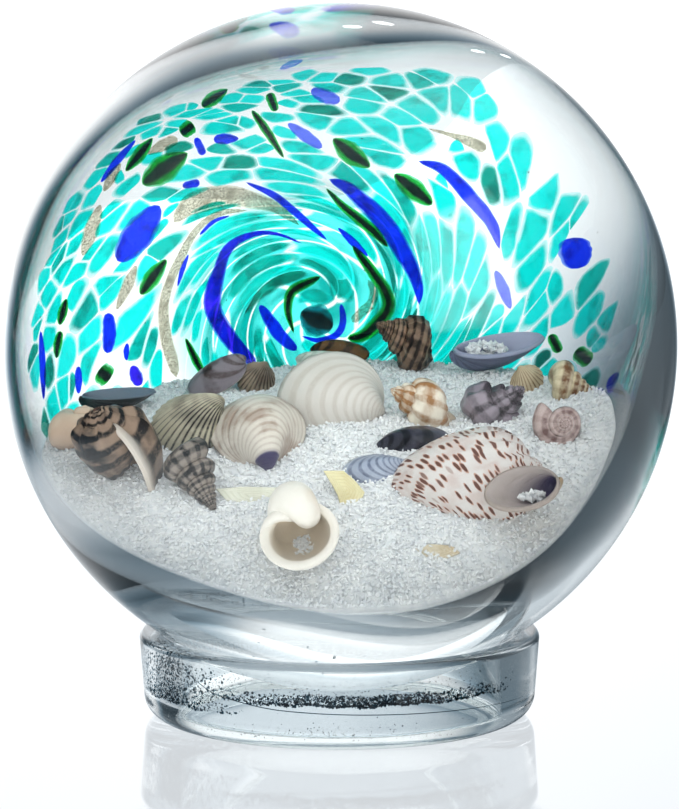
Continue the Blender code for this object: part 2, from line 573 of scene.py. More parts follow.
def make_thread():
    """A tube of six sides along the line through the points above, just inside the ring's outer wall."""
    place = np.linspace(0, len(THREAD) - 1, THREAD_STEPS)
    turn, height = (np.interp(place, np.arange(len(THREAD)), values) for values in zip(*THREAD))
    bell = np.exp(-0.5 * (np.arange(-THREAD_SPAN, THREAD_SPAN + 1) / THREAD_SMOOTH) ** 2)
    turn, height = (
        np.convolve(np.pad(values, THREAD_SPAN, "edge"), bell / bell.sum(), "valid")
        for values in (turn, height)
    )
    turn, round_tube = np.radians(turn)[:, None], np.arange(6) / 6 * math.tau
    thick = THREAD_RADIUS * np.sin(np.linspace(0, math.pi, THREAD_STEPS))[:, None] ** 0.5
    reach = FOOT_RIM - FOOT_LEAN - THREAD_IN + thick * np.cos(round_tube)
    points = around_axis(reach, turn, height[:, None] + thick * np.sin(round_tube))
    faces = grid_faces(6, THREAD_STEPS)[0][:, ::-1]
    add_piece("foot_thread", points, faces, clear_glass("dark_glass_thread", FLECK_TEAL, 1.0)[0])


make_thread()

# Coloured glass
# Chips of coloured glass are picked up on the hot back wall, cased in clear, and twisted round one point,
# so they are cells far from it and long streaks near it. Each chip is a lens of tinted glass in the wall.

# Sight lines are kept this share of the hollow's reach from its middle, and traced in these steps
HOLLOW_SEEN = 0.985
TRACE_STEPS = 8
TRACE_NUDGE = 0.001
SWIRL_EYE = (318, 318)
CHIP_SPACING = 0.0066
CHIP_JITTER = 0.46
CHIP_SPREAD = math.radians(88)
CHIP_GAP = 0.00002
CHIP_DEPTH = 0.10
CHIP_BULGE = 0.035
CHIP_SIDES = 28
CHIP_LARGEST = 2.4
CHIP_ROUNDING = 10.0
TWISTS = ((3.2, 0.019), (1.0, 0.048))
TWIST_GAP = 0.10
# How far from the line of sight the chips reach, in degrees, at angles turned from the right to the top
FRIT_ANGLES = (0, 20, 40, 60, 80, 100, 125, 150, 180, 270)
FRIT_EDGE = (69, 57, 50, 58, 75, 81, 83, 82, 79, 79)
CHIP_LOWEST = -0.52
CHIP_SEED = 11
CHIP_MISSING = 0.02
SINGLE_CLEARANCE = 0.02
GLOBE_PIXEL = WIDE * 2 / GLOBE_WIDTH_IN_PICTURE

# Glasses of the ordinary chips: name, light and dark colour, share of all chips. All thin out to one tint
GROUND_GLASSES = (
    ("teal_glass", "#00E0D6", "#00B4A8", 0.54),
    ("aqua_glass", "#18EAE2", "#00D0C6", 0.27),
    ("deep_teal_glass", "#00BEB0", "#008A7E", 0.13),
    ("sea_green_glass", "#009C88", "#006A5C", 0.06),
)
THIN_TEAL = "#D2FCFA"
# Single chips and streaks: where each one's middle line runs in the picture, and its width there, in pixels
COBALT_CHIPS = (
    ((118, 262, 16), (139, 235, 31), (160, 207, 14)), ((101, 184, 4), (118, 162, 8), (136, 142, 3)),
    ((196, 140, 7), (204, 157, 9)), ((214, 142, 8), (226, 141, 11), (239, 141, 4)),
    ((183, 188, 7), (200, 184, 9)), ((109, 313, 11), (110, 333, 14), (108, 353, 10)),
    ((41, 331, 4), (43, 365, 7), (44, 399, 3)), ((79, 366, 5), (79, 379, 8), (79, 393, 4)),
    ((128, 343, 3), (127, 351, 6), (127, 360, 3)), ((574, 238, 27), (575, 253, 34), (578, 269, 22)),
    ((618, 372, 5), (611, 382, 9), (609, 393, 5)), ((597, 388, 9), (603, 396, 8)),
    ((246, 184, 3), (274, 197, 7), (292, 211, 8), (313, 229, 6), (327, 241, 2)),
    (
        (329, 181, 5), (348, 190, 13), (366, 206, 17), (384, 224, 19), (398, 245, 19), (410, 266, 16),
        (418, 287, 11), (419, 305, 3),
    ),
    ((338, 229, 3), (353, 243, 8), (368, 257, 3)),
    (
        (418, 163, 4), (441, 170, 11), (458, 185, 14), (473, 202, 15), (486, 217, 13), (494, 231, 11),
        (499, 250, 3),
    ),
    ((260, 305, 7), (271, 322, 13), (281, 336, 13), (297, 350, 9)),
    ((341, 304, 5), (343, 322, 7), (336, 335, 7), (318, 340, 5), (302, 336, 2)),
    ((230, 217, 2), (214, 223, 4), (200, 236, 3)), ((189, 255, 2), (183, 270, 5), (178, 287, 2)),
)
VIOLET_CHIPS = (
    (
        (303, 245, 2), (281, 236, 3), (260, 234, 5), (239, 241, 8), (226, 253, 11), (220, 270, 13),
        (215, 287, 17), (213, 306, 18), (220, 324, 18), (232, 341, 17), (246, 355, 13), (257, 365, 8),
    ),
    ((133, 365, 7), (137, 376, 13), (140, 385, 8)),
)
LAVENDER_CHIPS = (
    ((288, 126, 6), (305, 138, 12), (322, 150, 8)),
    ((311, 93, 9), (325, 99, 15), (340, 104, 9)),
    ((280, 72, 3), (291, 67, 7), (303, 63, 3)),
    ((495, 271, 6), (503, 290, 12), (510, 309, 5)),
)
GREEN_CHIPS = (
    ((143, 186, 12), (164, 171, 28), (188, 155, 8)), ((126, 173, 5), (140, 156, 14), (153, 140, 4)),
    ((181, 136, 14), (194, 127, 16)), ((202, 109, 8), (214, 101, 14), (228, 92, 4)),
    ((269, 96, 11), (276, 114, 9)), ((141, 295, 8), (153, 278, 17), (167, 260, 6)),
    ((67, 299, 4), (63, 312, 10), (60, 325, 5)), ((61, 331, 7), (58, 345, 9), (57, 358, 4)),
    ((99, 370, 22), (111, 378, 22)), ((333, 141, 7), (350, 155, 22), (370, 169, 8)),
    ((394, 176, 8), (412, 190, 22), (432, 206, 9)), ((252, 113, 5), (266, 132, 9), (284, 160, 4)),
    ((550, 334, 11), (559, 352, 12)), ((575, 350, 18), (590, 362, 18)),
    ((321, 277, 4), (306, 284, 10), (292, 292, 11), (288, 307, 9), (290, 320, 6), (294, 333, 2)),
    (
        (352, 246, 3), (362, 259, 9), (374, 275, 12), (385, 291, 14), (388, 308, 15), (376, 325, 15),
        (361, 336, 12), (347, 338, 7),
    ),
    ((326, 190, 3), (341, 206, 8), (357, 219, 11), (374, 233, 11), (388, 248, 4)),
    ((186, 338, 4), (196, 359, 9), (204, 374, 6)),
)
EYE_CHIPS = (((301, 312, 12), (316, 320, 34), (333, 327, 14)),)
SILVER_CHIPS = (
    (
        (174, 224, 8), (187, 209, 19), (206, 201, 24), (228, 198, 22), (249, 201, 18), (271, 207, 13),
        (285, 215, 9), (300, 227, 2),
    ),
    (
        (248, 212, 2), (228, 213, 6), (213, 218, 7), (200, 228, 7), (190, 241, 8), (181, 259, 9),
        (172, 278, 10), (166, 296, 10), (164, 313, 11), (167, 340, 13), (173, 360, 12), (177, 377, 7),
    ),
    ((101, 206, 6), (92, 231, 16), (83, 257, 6)), ((137, 266, 5), (128, 286, 12), (117, 310, 4)),
    ((148, 156, 5), (162, 148, 12), (178, 141, 11)), ((121, 165, 4), (112, 179, 11), (104, 193, 4)),
    ((428, 131, 2), (450, 137, 5), (470, 144, 11), (486, 151, 12)),
    ((368, 280, 4), (374, 293, 10), (371, 304, 10), (362, 312, 10), (352, 322, 9)),
)
# Glasses of the single chips: name, chips, light and dark colour, the edge's, the core's, clouds and specks
SINGLE_GLASSES = (
    ("cobalt_glass", COBALT_CHIPS, "#0A30F0", "#0008A8", "#8CB4FF"),
    ("violet_blue_glass", VIOLET_CHIPS, "#3420E4", "#1A1490", "#90B0FF"),
    ("lavender_glass", LAVENDER_CHIPS, "#6478F6", "#4450E0", "#B8C8FF"),
    ("bottle_green_glass", GREEN_CHIPS, "#12A838", "#056018", "#90E8B8", "#030F08"),
    ("ink_teal_glass", EYE_CHIPS, "#007884", "#003844", "#60D0D0", "#001418"),
    (
        "silvered_glass", SILVER_CHIPS, "#CFCBB8", "#8F8B76", "#EAE7DA", None, 330.0,
        (2600.0, 0.47, 0.60, 1.0),
    ),
)
SINGLE_DEPTH = 0.05
SINGLE_BULGE = 0.021
SINGLE_STEPS = 30
SINGLE_RIM = 16
# From which share a core gives way, and from which a tint thins out, and how ragged both are
CORE_STEP = (0.30, 0.68)
EDGE_STEP = (0.74, 1.02)
EDGE_RAGGED = 0.5


camera_axis = np.array([0.0, math.cos(dip), -math.sin(dip)])


def refracted(ray, normal, ratio):
    """Snell's law: ratio * ray + (ratio * c - sqrt(1 - ratio ** 2 * (1 - c ** 2))) * normal.

    c is -ray . normal.
    """
    facing = -(ray * normal).sum(axis=-1, keepdims=True)
    bent = ratio * facing - np.sqrt(np.maximum(1 - ratio ** 2 * (1 - facing ** 2), 0))
    return ratio * ray + bent * normal


def hollow_hit(start, ray, side):
    """Where a ray meets the hollow's wall, on its near (-1) or far (+1) side.

    It is found by trying the wall's reach there, again and again. All is in globe radii from its centre.
    """
    reach = np.full(start.shape[:-1], HOLLOW_MEAN)
    along = (start * ray).sum(axis=-1)
    for _ in range(TRACE_STEPS):
        room = np.maximum(along ** 2 - (start ** 2).sum(axis=-1) + reach ** 2, 0)
        spot = start + (-along + side * np.sqrt(room))[..., None] * ray
        reach = hollow_reach(spot / np.linalg.norm(spot, axis=-1, keepdims=True))
    return spot


def inside_line(picture_x, picture_y):
    """A pixel's sight line once it is in the hollow, refracted at both of the wall's surfaces.

    Returns where it enters, in globe radii from the centre, and its direction. The normal of the hollow's
    wall is the slope of (distance from the centre - reach) over a small step each way.
    """
    right = (np.asarray(picture_x, float) - PICTURE_WIDTH / 2) / focal_pixels
    down = (np.asarray(picture_y, float) - PICTURE_HEIGHT / 2) / focal_pixels
    line = camera_axis + right[..., None] * RIGHT - down[..., None] * np.cross(RIGHT, camera_axis)
    line /= np.linalg.norm(line, axis=-1, keepdims=True)
    nearest = ((line @ SIGHT)[..., None] * line - SIGHT) * CAMERA_DISTANCE / WIDE
    b = np.maximum(np.linalg.norm(nearest, axis=-1, keepdims=True), 1e-9)
    side = nearest / b
    b = np.minimum(b, HOLLOW_SEEN * hollow_reach(side)[..., None])
    outside = b * side - np.sqrt(1 - b ** 2) * line
    in_glass = refracted(line, outside, 1 / GLASS_IOR)
    enters = hollow_hit(outside, in_glass, -1)

    def beyond(spot):
        length = np.linalg.norm(spot, axis=-1)
        return length - hollow_reach(spot / length[..., None])

    slope = [beyond(enters + step) - beyond(enters - step) for step in TRACE_NUDGE * np.eye(3)]
    normal = np.stack(slope, axis=-1)
    normal /= np.linalg.norm(normal, axis=-1, keepdims=True)
    return enters, refracted(in_glass, normal, GLASS_IOR)


def wall_direction(picture_x, picture_y):
    """The direction from the globe's centre to what a pixel shows on the hollow's back wall."""
    spot = hollow_hit(*inside_line(picture_x, picture_y), 1)
    return spot / np.linalg.norm(spot, axis=-1, keepdims=True)


# The swirl's own axes: towards its eye, and right and up as seen from the front
eye_axis = wall_direction(*SWIRL_EYE)
eye_right = RIGHT - (RIGHT @ eye_axis) * eye_axis
eye_right /= np.linalg.norm(eye_right)
eye_up = np.cross(eye_right, eye_axis)


def twist_at(distance):
    """How far the wall is turned at a distance from the eye: the sum of two bells, in radians."""
    return sum(-turn * np.exp(-(distance / width) ** 2) for turn, width in TWISTS)


def before_twist(direction):
    """Where a direction on the wall lay before the twist, on a disc laid out by distance from the eye."""
    distance = np.arccos(np.clip(direction @ eye_axis, -1, 1)) * WIDE * HOLLOW_MEAN
    turn = np.arctan2(direction @ eye_up, direction @ eye_right) - twist_at(distance)
    return around_axis(distance, turn)


def round_eye(off, turn):
    """The direction at an angle off the swirl's eye, and at a turn round it."""
    side = np.cos(turn)[..., None] * eye_right + np.sin(turn)[..., None] * eye_up
    return np.cos(off)[..., None] * eye_axis + np.sin(off)[..., None] * side


def after_twist(flat):
    """The direction on the wall of a place on the untwisted disc."""
    distance = np.hypot(flat[..., 0], flat[..., 1])
    turn = np.arctan2(flat[..., 1], flat[..., 0]) + twist_at(distance)
    return round_eye(distance / (WIDE * HOLLOW_MEAN), turn)


def chip_outlines(seeds, holders, reserved, gaps):
    """Rounded cells round the seeds. They stop half way to each other and at what each holder keeps.

    With f = max(cos, 0) / (share of the distance - gap) for each of the others, a radius is
    (sum of the seeds' f ** p + the greatest of the holders' f ** p) ** (-1 / p).
    """
    to_seed, to_holder = seeds[None] - seeds[:, None], holders[None] - seeds[:, None]
    seed_apart = np.hypot(*np.moveaxis(to_seed, 2, 0))
    holder_apart = np.hypot(*np.moveaxis(to_holder, 2, 0))
    np.fill_diagonal(seed_apart, 1e9)
    seed_reach = np.maximum(seed_apart / 2 - gaps[:, None], 1e-4)
    holder_reach = np.maximum(holder_apart - reserved - gaps[:, None], 1e-4)
    radii = []
    for turn in np.arange(CHIP_SIDES) / CHIP_SIDES * math.tau:
        way = (math.cos(turn), math.sin(turn))
        by_seeds = np.maximum(to_seed @ way / seed_apart / seed_reach, 0) ** CHIP_ROUNDING
        by_holder = np.maximum(to_holder @ way / holder_apart / holder_reach, 0).max(axis=1)
        radii.append((by_seeds.sum(axis=1) + by_holder ** CHIP_ROUNDING) ** (-1 / CHIP_ROUNDING))
    return np.stack(radii, axis=1)


def chip_shell(seeds, radii):
    """A closed lens for each seed: rings out to its outline on the near side and back on the far side.

    A ring's points are a share of the outline's radius out, and bulge * sqrt(1 - share ** 2) either way.
    Each corner's share is kept as its U.
    """
    shares = np.array([0.0, 0.45, 0.8, 1.0, 0.8, 0.45, 0.0])
    sides = np.array([-1, -1, -1, 0, 1, 1, 1])
    turn = np.arange(CHIP_SIDES) / CHIP_SIDES * math.tau
    spoke = np.stack([np.cos(turn), np.sin(turn)], axis=-1)
    flat = seeds[:, None, None] + shares[None, :, None, None] * radii[:, None, :, None] * spoke[None, None]
    deep = CHIP_DEPTH + CHIP_BULGE * sides * np.sqrt(1 - shares ** 2)
    deep = np.broadcast_to(deep[None, :, None], flat.shape[:3])
    points = wall_point(after_twist(flat), deep)
    faces, places = grid_faces(CHIP_SIDES, len(shares))
    places[..., 0] = shares[np.rint(places[..., 1] * (len(shares) - 1)).astype(int)]
    places = np.tile(places[:, ::-1], (len(seeds), 1, 1))
    return points, repeated(faces[:, ::-1], len(seeds), points[0]), places


def tinted_glass(name, light, dark, edge, core=None, cloud_scale=220.0, specks=(1500.0, 0.68, 0.74, 0.8)):
    """Coloured glass set in clear: it has no surface of its own, only a tint that thins out at its edge.

    It has clouds of a darker tint and dark specks, whose scale, from, to and strength are given, and may
    have a near-black core. U is the share of the way from a chip's middle to its edge.
    """
    material, shader = clear_glass(name, light, 1.0)
    tree = material.node_tree
    node = partial(add_node, tree)
    place = node("TexCoord", output="Object")
    share = node("SeparateXYZ", {0: node("UVMap")}, output="X")
    clouds = node("TexNoise", {"Vector": place, "Scale": cloud_scale, "Detail": 3.0})
    grains = node("TexNoise", {"Vector": place, "Scale": specks[0], "Detail": 2.0})
    amount = node(
        "Math MAXIMUM",
        (
            node("MapRange SMOOTHSTEP", (clouds, 0.45, 0.72, 0.0, 1.0)),
            node("MapRange SMOOTHSTEP", (grains, specks[1], specks[2], 0.0, specks[3])),
        ),
    )
    tint = node("Mix RGBA", {0: amount, 6: linear(light), 7: linear(dark)}, output=2)
    uneven = node("Math MULTIPLY", (node("Math SUBTRACT", (clouds, 0.5)), EDGE_RAGGED))
    ragged = node("Math ADD", (share, uneven))
    if core:
        inner = node("MapRange SMOOTHSTEP", (ragged, *CORE_STEP, 1.0, 0.0))
        tint = node("Mix RGBA", {0: inner, 6: tint, 7: linear(core)}, output=2)
    outer = node("MapRange SMOOTHSTEP", (ragged, *EDGE_STEP, 0.0, 1.0))
    thin = node("Mix RGBA", {0: outer, 6: tint, 7: linear(edge)}, output=2)
    tree.links.new(thin, shader.inputs["Base Color"])
    return material


def middle_line(points, steps):
    """A smooth line through given points and widths: each span is a cubic that keeps their slopes.

    The slope at a point is half the way from the point before it to the one after it.
    """
    points = np.array(points, float)
    slopes = np.gradient(points, axis=0)
    place = np.linspace(0, len(points) - 1, steps)
    span = np.minimum(place.astype(int), len(points) - 2)
    t = (place - span)[:, None]
    start, end = points[span], points[span + 1]
    leave, meet = slopes[span], slopes[span + 1]
    line = (2 * t ** 3 - 3 * t ** 2 + 1) * start + (t ** 3 - 2 * t ** 2 + t) * leave
    return line + (3 * t ** 2 - 2 * t ** 3) * end + (t ** 3 - t ** 2) * meet


def streak_shell(points, random):
    """A closed lens along a middle line: each ring goes across on the near side and back on the far side.

    Ring points are cos(a) of the half width across and bulge * sin(a) deep; the width closes at both ends
    as the square root of the way in, and wavers a little along the edges. The shares of the way from its
    middle to its edge come back with the points.
    """
    line = middle_line(points, SINGLE_STEPS)
    along = np.gradient(line[:, :2], axis=0)
    along /= np.linalg.norm(along, axis=1, keepdims=True)
    across = np.stack([-along[:, 1], along[:, 0]], axis=-1)
    way = np.linspace(0, 1, SINGLE_STEPS)
    end = np.sqrt(np.clip(np.minimum(way, 1 - way) * len(points) * 1.6, 0, 1))
    end = np.sin(end * math.pi / 2)
    half = np.maximum(line[:, 2], 1.0) / 2 * end
    angle = np.arange(SINGLE_RIM) / SINGLE_RIM * math.tau
    waver = 1 + 0.03 * np.sin(
        way[:, None] * random.uniform(14, 30) + np.sign(np.cos(angle)) * random.uniform(1, 3)
    )
    share = np.cos(angle) * waver
    pixel = line[:, None, :2] + across[:, None] * (half[:, None] * share)[..., None]
    deep = SINGLE_DEPTH + SINGLE_BULGE * np.sin(angle) * end[:, None] * np.minimum(half / 2, 1)[:, None]
    points = wall_point(wall_direction(pixel[..., 0], pixel[..., 1]), deep)
    return points, np.maximum(np.abs(np.cos(angle)), 1 - end[:, None])


def make_chips():
    """Lays out ordinary chips round the single ones, as cells of one pattern, and parts all by glass."""
    random = np.random.default_rng(CHIP_SEED)
    wall_radius = WIDE * HOLLOW_MEAN
    rows = int(wall_radius * CHIP_SPREAD / CHIP_SPACING) + 4
    i, j = np.meshgrid(np.arange(-rows, rows + 1), np.arange(-rows - 4, rows + 5))
    seeds = np.stack([(i + 0.5 * (j % 2)).ravel(), (j * math.sqrt(0.75)).ravel()], axis=-1) * CHIP_SPACING
    seeds = seeds + random.uniform(-CHIP_JITTER, CHIP_JITTER, seeds.shape) * CHIP_SPACING
    seeds = seeds[random.random(len(seeds)) > CHIP_MISSING]
    singles = [points for glass in SINGLE_GLASSES for points in glass[1]]
    holders, reserved = [], []
    for points in singles:
        line = middle_line(points, 8 * len(points))
        flat = before_twist(wall_direction(line[:, 0], line[:, 1]))
        half = np.maximum(line[:, 2], 1.0) * GLOBE_PIXEL / 2
        holders.append(flat)
        reserved.append(half)
        near = np.hypot(*(seeds[:, None] - flat[None]).T).T < half + CHIP_SPACING * SINGLE_CLEARANCE
        seeds = seeds[~near.any(axis=1)]
    distance = np.hypot(seeds[:, 0], seeds[:, 1])
    shear = sum(
        2 * turn * (distance / width) ** 2 * np.exp(-(distance / width) ** 2) for turn, width in TWISTS
    )
    gaps = CHIP_GAP * (1 + TWIST_GAP * shear)
    radii = chip_outlines(seeds, np.concatenate(holders), np.concatenate(reserved), gaps)
    direction = after_twist(seeds)
    off_sight = np.degrees(np.arccos(direction @ SIGHT))
    edge = np.interp(
        np.degrees(np.arctan2(direction @ UP, direction @ RIGHT)) % 360, FRIT_ANGLES, FRIT_EDGE, period=360
    )
    kept = (off_sight < edge) & (direction[:, 2] > CHIP_LOWEST)
    radii = np.minimum(radii, CHIP_SPACING * CHIP_LARGEST)
    seeds, radii = seeds[kept], radii[kept]
    draw = random.random(len(seeds))
    limit = 0.0
    for name, light, dark, share in GROUND_GLASSES:
        chosen = (draw >= limit) & (draw < limit + share)
        limit += share
        points, faces, places = chip_shell(seeds[chosen], radii[chosen])
        add_piece(
            name.replace("glass", "chips"), points, faces, tinted_glass(name, light, dark, THIN_TEAL),
            places,
        )
    rim = grid_faces(SINGLE_RIM, SINGLE_STEPS)[0][:, ::-1]
    for name, chips, *look in SINGLE_GLASSES:
        points, shares = zip(*(streak_shell(points, random) for points in chips))
        faces = repeated(rim, len(chips), points[0])
        shares = np.concatenate(shares).ravel()[faces]
        add_piece(name.replace("glass", "chips"), np.stack(points), faces, tinted_glass(name, *look),
                  np.stack([shares, shares], axis=-1))


make_chips()

# Seeds
# The small round bubbles that any blown glass has. They are strewn in the back wall, between the coloured
# glass and the outside.
SEED_COUNT = 110
SEED_SIZE = (0.00006, 0.00022)
SEED_DEPTH = (0.35, 0.85)
SEED_REACH = math.radians(75)


def make_seeds():
    """Balls of forty-eight faces turned inwards, as they are holes in the glass."""
    random = np.random.default_rng(CHIP_SEED + 1)
    off, turn = SEED_REACH * random.random(SEED_COUNT) ** 0.7, random.random(SEED_COUNT) * math.tau
    at = wall_point(round_eye(off, turn), random.uniform(*SEED_DEPTH, SEED_COUNT))
    size = SEED_SIZE[0] + (SEED_SIZE[1] - SEED_SIZE[0]) * random.random(SEED_COUNT) ** 3
    ball = round_grid(8, 6)
    faces = repeated(grid_faces(8, 7)[0][:, ::-1], SEED_COUNT, ball)
    points = at[:, None, None] + ball * size[:, None, None, None]
    add_piece("seed_bubbles", points, faces, clear_glass("seed_in_glass")[0])


make_seeds()

# Swirl
# Under the chips, the swirl itself is drawn out of one thin sheet of teal glass. It has clear lines where
# its cells met.
SWIRL_REACH = 0.034
SWIRL_DEPTH = (0.20, 0.26)
SWIRL_RINGS = 56
SWIRL_AROUND = 176
SWIRL_FADE = (0.62, 1.0)
SWIRL_CELLS = 1 / 0.0074
SWIRL_LINE = (0.015, 0.085)
SWIRL_CLOUDS = (0.40, 0.66)
SWIRL_TEAL = "#40E4DC"
SWIRL_PALE = "#54EAE4"
SWIRL_DEEP = "#00AAA0"


def swirl_glass():
    """Teal sheet: cells and clouds by the place before the twist, so that they are drawn into streaks."""
    material, shader = clear_glass("swirled_teal_glass", SWIRL_TEAL, 1.0)
    tree = material.node_tree
    node = partial(add_node, tree)
    flat = node("UVMap")
    clouds = node("TexNoise", {"Vector": flat, "Scale": SWIRL_CELLS * 0.7, "Detail": 3.0})
    line = node(
        "TexVoronoi", {"Vector": flat, "Scale": SWIRL_CELLS}, voronoi_dimensions="2D",
        feature="DISTANCE_TO_EDGE", output="Distance",
    )
    far = node("VectorMath LENGTH", {0: flat}, output="Value")
    cloudy = node("MapRange SMOOTHSTEP", (clouds, *SWIRL_CLOUDS, 0.0, 1.0))
    teal = node("Mix RGBA", {0: cloudy, 6: linear(SWIRL_PALE), 7: linear(SWIRL_DEEP)}, output=2)
    ends = [share * SWIRL_REACH for share in SWIRL_FADE]
    clear = node(
        "Math MAXIMUM",
        (
            node("MapRange SMOOTHSTEP", (line, *SWIRL_LINE, 0.9, 0.0)),
            node("MapRange SMOOTHSTEP", (far, *ends, 0.0, 1.0)),
        ),
    )
    tint = node("Mix RGBA", {0: clear, 6: teal, 7: linear("#FFFFFF")}, output=2)
    tree.links.new(tint, shader.inputs["Base Color"])
    return material


def make_swirl():
    """A closed thin disc in the wall round the swirl's eye. UV is each point's place before the twist."""
    out = np.linspace(0, SWIRL_REACH, SWIRL_RINGS)
    distance = np.concatenate([out, out[::-1]])[:, None]
    turn = np.arange(SWIRL_AROUND) / SWIRL_AROUND * math.tau
    direction = round_eye(distance / (WIDE * HOLLOW_MEAN), turn)
    deep = np.repeat(SWIRL_DEPTH, SWIRL_RINGS)[:, None] + 0 * turn
    faces = grid_faces(SWIRL_AROUND, 2 * SWIRL_RINGS)[0][:, ::-1]
    flat = around_axis(distance, turn - twist_at(distance))
    add_piece("teal_swirl", wall_point(direction, deep), faces, swirl_glass(), flat.reshape(-1, 2)[faces])


make_swirl()

# Sand
# Coarse white quartz sand fills the bottom of the hollow. It was tipped in and raked: nearly level at the
# back, and a slope down to the glass in front. Its crystals are modelled where they show.
SAND_MIDDLE = -0.0175
SAND_BACK_SLOPE = 0.125
SAND_SIDE_SLOPE = 0.04
SAND_FRONT_SLOPE = 0.72
SAND_BEND_AT = -0.004
SAND_BEND = 0.005
SAND_CLEARANCE = 0.00012
SAND_AROUND = 200
SAND_RINGS = 90
SAND_RINGS_UNDER = 49
EDGE_HALVINGS = 24
GRAIN = 0.00040
TOP_GRAINS = 20000
WALL_GRAINS = 20000
SAND_SEED = 5
# The grain pattern's cells to a metre, and its relief
SAND_CELLS = 1150.0
SAND_RELIEF = 0.0005


def sand_height(x, y):
    """The raked top, in metres above the globe's centre.

    Two slopes joined by a soft bend, middle + back * y + side * x - (front - back) * bend * log(1 + e ** w)
    with w = (bend_at - y) / bend, and slow waves.
    """
    bend = SAND_BEND * np.logaddexp(0, (SAND_BEND_AT - y) / SAND_BEND)
    steeper = SAND_FRONT_SLOPE - SAND_BACK_SLOPE
    plain = SAND_MIDDLE + SAND_BACK_SLOPE * y + SAND_SIDE_SLOPE * x - steeper * bend
    waves = 0.0006 * np.sin(x * 150 + 1.0) * np.sin(y * 130 + 0.4) + 0.0003 * np.sin(x * 410 + y * 360)
    return plain + waves


def fits_hollow(offset, clearance):
    """Whether a place, from the globe's centre, is in the hollow and at least this far off its wall."""
    offset = offset * WIDE / globe_radius
    length = np.linalg.norm(offset, axis=-1)
    return length < hollow_reach(offset / length[..., None]) * WIDE - clearance


def sand_edge(turn):
    """How far out the sand's top reaches, where it meets the hollow's wall, found by halving."""
    low, high = np.zeros(turn.shape), np.full(turn.shape, WIDE)
    for _ in range(EDGE_HALVINGS):
        reach = (low + high) / 2
        height = sand_height(reach * np.cos(turn), reach * np.sin(turn))
        within = fits_hollow(around_axis(reach, turn, height), SAND_CLEARANCE)
        low, high = np.where(within, reach, low), np.where(within, high, reach)
    return low


def quartz_sand(name, shades, bump):
    """White quartz: every grain its own shade of white, and rough between grains."""
    material, shader = plain_material(name, shades[0], 0.45, IOR=1.46)
    tree = material.node_tree
    node = partial(add_node, tree)
    place = node("TexCoord", output="Object")
    cells = node("TexVoronoi", {"Vector": place, "Scale": SAND_CELLS}, output=None)
    grain = node("SeparateColor", {0: cells["Color"]})
    shade = node("Mix RGBA", {0: grain, 6: linear(shades[0]), 7: linear(shades[1])}, output=2)
    tree.links.new(shade, shader.inputs["Base Color"])
    if bump:
        heights = {"Height": cells["Distance"], "Distance": SAND_RELIEF, "Strength": bump}
        tree.links.new(node("Bump", heights, invert=True), shader.inputs["Normal"])
    return material


def make_sand():
    """The bed: rings across the raked top out to the wall, then down along the wall to its lowest point."""
    turn = np.arange(SAND_AROUND) / SAND_AROUND * math.tau
    edge = sand_edge(turn)
    shares = np.linspace(0, 1, SAND_RINGS)[:, None]
    x, y = shares * edge * np.cos(turn), shares * edge * np.sin(turn)
    top = np.stack([x, y, sand_height(x, y)], axis=-1)
    rim = top[-1] * WIDE / globe_radius
    from_axis = np.arccos(-rim[:, 2] / np.linalg.norm(rim, axis=-1))
    off = np.linspace(1, 0, SAND_RINGS_UNDER + 1)[1:, None] * from_axis
    under = hollow_point(around_axis(np.sin(off), turn, -np.cos(off)), -SAND_CLEARANCE)
    points = np.concatenate([globe_centre + top, under])
    faces, places = grid_faces(SAND_AROUND, len(points))
    sand = quartz_sand("white_quartz_sand", ("#E8E7E5", "#D6D7D8"), 0.18)
    add_piece("sand_bed", points, faces[:, ::-1], sand, places=places[:, ::-1])
    return from_axis


def make_grains(name, places, size, random):
    """Loose crystals: each an eight-faced form, stretched and turned at random, at its place."""
    corners = np.array([[1, 0, 0], [-1, 0, 0], [0, 1, 0], [0, -1, 0], [0, 0, 1], [0, 0, -1]], float)
    sides = np.array(
        [[0, 2, 4], [2, 1, 4], [1, 3, 4], [3, 0, 4], [2, 0, 5], [1, 2, 5], [3, 1, 5], [0, 3, 5]]
    )
    count = len(places)
    form = corners[None] * random.uniform(0.6, 1.45, (count, 6, 1)) * size
    turned = np.linalg.qr(random.normal(size=(count, 3, 3)))[0]
    turned *= np.sign(np.linalg.det(turned))[:, None, None]
    points = places[:, None, :] + np.einsum("nij,nkj->nki", turned, form)
    return add_piece(
        name, points, repeated(sides, count, corners),
        quartz_sand("quartz_crystal", ("#ECEBE9", "#D6D7D9"), 0.0), smooth=False,
    )


random = np.random.default_rng(SAND_SEED)
sand_from_axis = make_sand()
turn = random.random(TOP_GRAINS) * math.tau
reach = np.sqrt(random.random(TOP_GRAINS)) * (sand_edge(turn) - 0.0006)
x, y = reach * np.cos(turn), reach * np.sin(turn)
lift = random.uniform(-0.2, 1.1, TOP_GRAINS) * GRAIN
top_places = globe_centre + np.stack([x, y, sand_height(x, y) + lift], axis=-1)
make_grains("sand_crystals_on_top", top_places, GRAIN, random)

# Grains pressed against the glass, below the sand's top, on the half that faces the clear front
turn = random.uniform(math.pi, math.tau, WALL_GRAINS)
steps = np.arange(SAND_AROUND + 1) / SAND_AROUND * math.tau
lowest = np.interp(turn, steps, np.append(sand_from_axis, sand_from_axis[0]))
off = np.arccos(1 - random.random(WALL_GRAINS) * (1 - np.cos(lowest)))
down = around_axis(np.sin(off), turn, -np.cos(off))
make_grains("sand_crystals_on_glass", hollow_point(down, -2.0 * GRAIN), GRAIN * 0.9, random)

